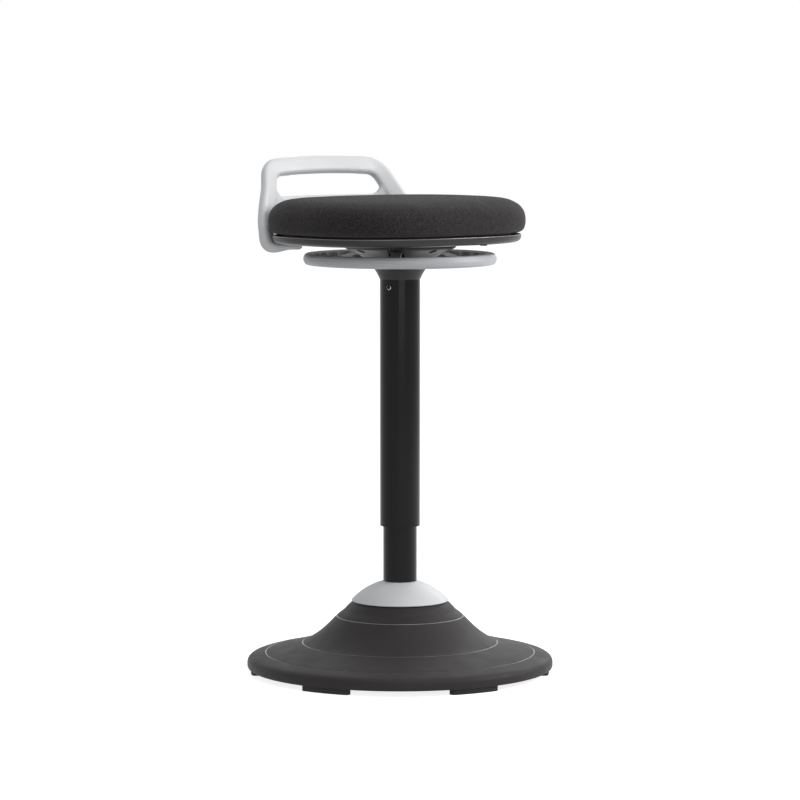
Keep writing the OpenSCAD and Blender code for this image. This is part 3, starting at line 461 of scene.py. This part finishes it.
# Half of the band's centre line, from the tip of a foot to the middle of the grip
HANDLE_HALF = [
    (92.45, 80.55, 536.62), (102.95, 90.28, 536.62), (108.15, 95.22, 535.96), (112.63, 100.01, 535.16),
    (116.68, 104.63, 534.87), (120.43, 108.62, 536.45), (122.71, 111.33, 541.29), (123.13, 112.61, 548.51),
    (122.71, 115.32, 556.01), (120.01, 119.63, 564.0), (112.63, 127.12, 580.0), (101.29, 136.37, 602.0),
    (94.63, 144.19, 617.0), (91.31, 147.86, 623.5), (84.44, 151.37, 629.6), (74.98, 153.6, 632.9),
    (52.0, 155.83, 634.3), (26.0, 158.22, 635.1), (0.0, 159.5, 635.4),
]
HANDLE_W, HANDLE_BAR_W, HANDLE_T = 25.5, 23.6, 12.0
HANDLE_HALF_W, HANDLE_BACK = 104.0, 159.5
# Thickness as a share of HANDLE_T, against the depth as a share of HANDLE_BACK
BAND_T = ([0.566, 0.597, 0.627, 0.656, 0.681, 0.698, 0.706, 0.723, 0.75],
          [0.68, 0.8, 0.95, 1.08, 1.22, 1.3, 1.27, 1.06, 1])
BAND_CORNER = 0.42
HANDLE_LEAN = math.tan(math.radians(24))
SIDE_LEAN = 0.6
FOOT_Z, SEAM_Z = 536.62, 552.5
PANEL_T, PANEL_LOW, PANEL_TOP = 9.0, 550.0, 597.0
PANEL_HALF, PANEL_CORNER, PANEL_SLOPE = 84.2, 13.0, 1.25
# How far the panel stands out from the seat's plan, by height; its edges as shares of height and thickness
PANEL_FLARE = ([550.0, 564.0, 580.0, 602.0], [7.5, 8.5, 11.0, 14.5])
PANEL_EDGE = [(0, 0.45), (0.04, 0.9), (0.3, 1), (0.6, 1), (0.9, 1), (0.97, 0.85), (1, 0.4)]
PANEL_TURN, PANEL_STEPS, PANEL_OUT = math.radians(39), 61, 11.0
HANDLE_VOXEL = 1.5 * MM


def band_outline(width, thick, corner, steps):
    """Rounded rectangle, as (across, out) points."""
    points = []
    for sx, sy, start in ((1, 1, 0), (-1, 1, 90), (-1, -1, 180), (1, -1, 270)):
        centre = (sx * (width / 2 - corner), sy * (thick / 2 - corner))
        points += arc(centre, corner, start, start + 90, steps)
    return points


def plan_point(angle, inset, z):
    """A point of the seat's plan outline, drawn in by an inset."""
    c, s = math.cos(angle), math.sin(angle)
    x = (SEAT_W / 2 - inset) * math.copysign(abs(c) ** (2 / SEAT_N), c)
    y = SEAT_SHIFT + (SEAT_DEPTH / 2 - inset) * math.copysign(abs(s) ** (2 / SEAT_N), s)
    return (x * MM, y * MM, z * MM)


def plan(inset, z, sides=192):
    """Ring of points on the seat's plan outline."""
    return [plan_point(math.tau * (k + 0.5) / sides, inset, z) for k in range(sides)]


def band_rings():
    half = HANDLE_HALF
    line = smooth(half + [(-x, y, z) for x, y, z in half[-2::-1]], steps=6)
    rings = []
    for i, p in enumerate(line):
        along = Vector(line[min(i + 1, len(line) - 1)] - line[max(i - 1, 0)]).normalized()
        rise = min(1, max(0, (p[2] - FOOT_Z) / (SEAM_Z - FOOT_Z)))
        away = Vector((SIDE_LEAN * p[0], p[1], -HANDLE_LEAN * p[1])) * rise - UP * (1 - rise) * HANDLE_HALF_W
        out = (away - away.dot(along) * along).normalized()
        side = out.cross(along)
        thick = HANDLE_T * np.interp(p[1] / HANDLE_BACK, *BAND_T)
        width = HANDLE_BAR_W + (HANDLE_W - HANDLE_BAR_W) * min(1, (abs(p[0]) / HANDLE_HALF_W) ** 4)
        outline = band_outline(width, thick, thick * BAND_CORNER, steps=5)
        rings.append([(Vector(p) + side * a + out * b) * MM for a, b in outline])
    return rings


def panel_top(x):
    """The panel's top edge: level, up round the slot's corner, then down inside the leg."""
    over = x - PANEL_HALF + PANEL_CORNER
    if over < 0:
        return PANEL_TOP
    if over < PANEL_CORNER:
        return PANEL_TOP + PANEL_CORNER - math.sqrt(PANEL_CORNER**2 - over**2)
    return PANEL_TOP + PANEL_CORNER - PANEL_SLOPE * (over - PANEL_CORNER)


def panel_rings():
    rings = []
    for turn in np.linspace(-PANEL_TURN, PANEL_TURN, PANEL_STEPS):
        angle = math.pi / 2 + turn
        top = panel_top(abs(plan_point(angle, -PANEL_OUT, 0)[0]) / MM)
        ring = []
        for side, edge in ((-1, PANEL_EDGE), (1, PANEL_EDGE[::-1])):
            for height, thick in edge:
                z = PANEL_LOW + height * (top - PANEL_LOW)
                offset = np.interp(z, *PANEL_FLARE) + side * thick * PANEL_T / 2
                ring.append(plan_point(angle, -offset, z))
        rings.append(ring)
    return rings


def add_handle():
    """Band and panel are fused and softened, so that they read as one moulding."""
    handle = loft("carry_handle", band_rings(), "seat", "handle")
    panel = loft("panel", panel_rings(), "seat")
    work = bmesh.new()
    work.from_mesh(handle.data)
    work.from_mesh(panel.data)
    work.to_mesh(handle.data)
    work.free()
    bpy.data.objects.remove(panel)
    modifier(handle, "REMESH", mode="VOXEL", voxel_size=HANDLE_VOXEL)
    modifier(handle, "SMOOTH", factor=0.5, iterations=16)
    baked(handle)
    dress(handle, "pale")


add_handle()


# Screw in the upper tube: bright rim round a socket painted black as shade

SCREW_TURN, SCREW_Z, TUBE_R = math.radians(198), 486.6, 25.2
SCREW = [(2.0, -9.0), (2.0, 0.0), (2.9, 0.0), (3.1, 0.25), (3.1, 0.8), (2.9, 1.2), (2.5, 1.4), (2.1, 1.25),
         (1.9, 0.3), (0.01, 0.25), (0.01, -9.0)]
# The socket's faces are painted black as shade in the recess; the screw is bright steel throughout
SHADED_SOCKET_R, SHADED_SOCKET_Z = 2.3, 0.2


def add_screw():
    screw = lathe("tube_screw_head", SCREW, "seat", "tube_screw", sides=32, soft_angle=30)
    dress(screw, "bright", "black")
    # Socket faces get the black finish: painted shade
    for face in screw.data.polygons:
        face.material_index = 1 if face.center.z > SHADED_SOCKET_Z and face.center.xy.length < SHADED_SOCKET_R else 0
    out = Vector((math.cos(SCREW_TURN), math.sin(SCREW_TURN), 0))
    side = UP.cross(out)
    for vertex in screw.data.vertices:
        x, y, rise = vertex.co
        vertex.co = (out * (TUBE_R + rise) + side * x + UP * (SCREW_Z + y)) * MM


add_screw()


# Seat pan: thin rounded tray under the cushion, with a painted highlight along its lip

PAN_LOW, PAN_WALL = 541.0, 3.0
PAN_H = 10.7
# Outer faces above this height get a painted highlight along the lip
PAN_PAINTED_HIGHLIGHT_Z = 550.8
PAN_FLOOR_INSET, BORE_SHIFT = 2.2 * PAN_H, 0.5 * SEAT_SHIFT
PAN_STEPS = 5
# Outline from the bore to the lip: (radius, rise), then (inset, rise), where the side's two values and the
# lip's rise are in pan heights
PAN_BORE = [(74.5, PAN_WALL), (74.5, 0.6), (75.1, 0)]
PAN_SIDE = [(2.2, 0), (1.4, 0.03), (0.93, 0.12), (0.67, 0.3), (0.56, 0.55), (0.51, 0.91)]
PAN_LIP = [(5.45, 0.95), (5.6, 0.985), (6.2, 1), (8.5, 1)]


def circle_ring(radius, z, like):
    """A circle of points at the same angles as a plan ring."""
    turns = [math.atan2(y - BORE_SHIFT * MM, x) for x, y, _ in like]
    return [(radius * math.cos(t) * MM, radius * math.sin(t) * MM, z * MM) for t in turns]


def add_pan():
    section = smooth(PAN_SIDE, PAN_STEPS)
    floor = plan(PAN_FLOOR_INSET, PAN_LOW)
    rings = [circle_ring(radius, PAN_LOW + rise, floor) for radius, rise in PAN_BORE]
    rings += [plan(s * PAN_H, PAN_LOW + h * PAN_H) for s, h in section]
    rings += [plan(inset, PAN_LOW + h * PAN_H) for inset, h in PAN_LIP]
    rings += [plan(s * PAN_H + PAN_WALL, PAN_LOW + h * PAN_H + PAN_WALL * (1 - h))
              for s, h in section[::-PAN_STEPS]]
    pan = make("seat_tray", *skin(rings, joined=True), "seat", "seat_pan", soft_angle=40)
    dress(pan, "pan", "painted_highlight")
    # Outward faces of the lip get the light finish as a painted highlight
    for face in pan.data.polygons:
        outward = face.center.xy.dot(face.normal.xy) > 0
        face.material_index = 1 if outward and face.center.z > PAN_PAINTED_HIGHLIGHT_Z * MM else 0


add_pan()


# Cushion: a slimmer pad blown up as cloth, kept flat where it lies in the pan

CUSHION_H = 47.0
CUSHION = [(0.15, 0), (0.064, 0.05), (0.016, 0.12), (0, 0.22), (0, 0.44), (0.016, 0.56), (0.06, 0.66),
           (0.132, 0.75), (0.23, 0.83), (0.36, 0.895), (0.52, 0.938), (0.76, 0.965), (1.16, 0.982),
           (1.76, 0.994)]
PAD_SLIM, PAD_SWELL = 0.5 * MM, 1.0 * MM
PAD_VOXEL = 5.0 * MM
PAD_BOX = ((-0.1622, -0.1276, 0.5525), (0.1622, 0.137, 0.5987))
PAD_PRESSURE, PAD_FRAMES = 4, 20
PAD_SEAT, PAD_FILL = 0.1, 0.85


def blow_up(pad):
    """Swells the pad as cloth under pressure and caps how far each point may move."""
    modifier(pad, "REMESH", mode="VOXEL", voxel_size=PAD_VOXEL)
    baked(pad)
    start = [v.co.copy() for v in pad.data.vertices]
    cloth = modifier(pad, "CLOTH")
    cloth.settings.use_pressure = True
    cloth.settings.uniform_pressure_force = PAD_PRESSURE
    cloth.settings.effector_weights.gravity = 0
    cloth.settings.quality = 6
    scene = bpy.context.scene
    for number in range(PAD_FRAMES):
        scene.frame_set(number + 1)
    baked(pad)
    scene.frame_set(1)
    for vertex, rest in zip(pad.data.vertices, start):
        step = vertex.co - rest
        if step.length > PAD_SWELL:
            vertex.co = rest + step.normalized() * PAD_SWELL


def fit(piece, low, high):
    """Stretches a mesh into a box."""
    points = np.array([vertex.co for vertex in piece.data.vertices])
    start, size = points.min(0), np.ptp(points, 0)
    points = low + (points - start) / size * (np.array(high) - low)
    piece.data.vertices.foreach_set("co", points.ravel())


def add_cushion():
    slim = PAD_SLIM / MM
    rings = [plan(s * CUSHION_H + slim, SEAM_Z + slim / 2 + h * (CUSHION_H - 1.5 * slim), sides=128)
             for s, h in smooth(CUSHION, steps=3)]
    pad = loft("seat_cushion", rings, "seat", "cushion")
    blow_up(pad)
    for vertex in pad.data.vertices:
        vertex.co.z = max(vertex.co.z, (SEAM_Z + PAD_SEAT) * MM)
    modifier(pad, "SMOOTH", factor=0.5, iterations=5)
    modifier(pad, "SUBSURF", levels=1, render_levels=1)
    baked(pad)
    fit(pad, *PAD_BOX)
    dress(pad, "fabric")


add_cushion()


# Floor, backdrop and light

FLOOR_SIZE = 9.0
FLOOR_GLOW = 0.84
ROOM_LIGHT = 0.38


def seen_rays(tree):
    """1 for rays from the camera and for those that mirror or pass the object, 0 for light on it."""
    path = node(tree, "ShaderNodeLightPath")
    total = path.outputs["Is Camera Ray"]
    for ray in ("Is Glossy Ray", "Is Transmission Ray"):
        total = calc(tree, "MAXIMUM", total, path.outputs[ray])
    return total


def add_floor():
    """A white floor: it glows where it is seen, and the object's shadow still shows on it."""
    mesh = bpy.data.meshes.new("floor")
    corners = [(x * FLOOR_SIZE, y * FLOOR_SIZE, 0) for x, y in ((-1, -1), (1, -1), (1, 1), (-1, 1))]
    mesh.from_pydata(corners, [], [(0, 1, 2, 3)])
    floor = bpy.data.objects.new("floor", mesh)
    bpy.context.scene.collection.objects.link(floor)
    finish, tree, shader = material("pale_floor", (0.62,) * 3, roughness=0.9, Specular_IOR_Level=0.1)
    shader.inputs["Emission Color"].default_value = (1, 1, 1, 1)
    glow = calc(tree, "MULTIPLY", seen_rays(tree), FLOOR_GLOW)
    tree.links.new(glow, shader.inputs["Emission Strength"])
    mesh.materials.append(finish)


def add_world():
    """White for the camera and for what mirrors or passes it, softer as light on the object."""
    world = bpy.data.worlds.new("studio")
    world.use_nodes = True
    bpy.context.scene.world = world
    tree = world.node_tree
    tree.nodes.clear()
    links = tree.links
    lit = node(tree, "ShaderNodeBackground", Color=(1, 1, 1, 1), Strength=ROOM_LIGHT)
    shown = node(tree, "ShaderNodeBackground", Color=(1, 1, 1, 1), Strength=1.0)
    mix = node(tree, "ShaderNodeMixShader")
    output = node(tree, "ShaderNodeOutputWorld")
    links.new(seen_rays(tree), mix.inputs["Fac"])
    links.new(lit.outputs[0], mix.inputs[1])
    links.new(shown.outputs[0], mix.inputs[2])
    links.new(mix.outputs[0], output.inputs["Surface"])


def add_light(name, at, aim, size, power):
    light = bpy.data.objects.new(name, bpy.data.lights.new(name, "AREA"))
    light.data.shape = "RECTANGLE"
    light.data.size, light.data.size_y = size
    light.data.energy = power
    light.location = at
    light.rotation_euler = (Vector(aim) - Vector(at)).to_track_quat("-Z", "Y").to_euler()
    bpy.context.scene.collection.objects.link(light)


add_floor()
add_world()
add_light("key", (2.0, -1.7, 1.7), (0, 0, 0.35), (1.1, 1.2), 54)
add_light("rim", (2.05, 0.9, 1.4), (0, 0, 0.2), (0.9, 1.2), 8)
add_light("fill", (-1.5, -2.6, 1.0), (0, 0, 0.3), (2.0, 1.6), 16)
add_light("top", (0.0, -0.4, 2.8), (0, 0, 0.3), (1.4, 1.4), 16)

bpy.context.scene.view_settings.view_transform = "Standard"
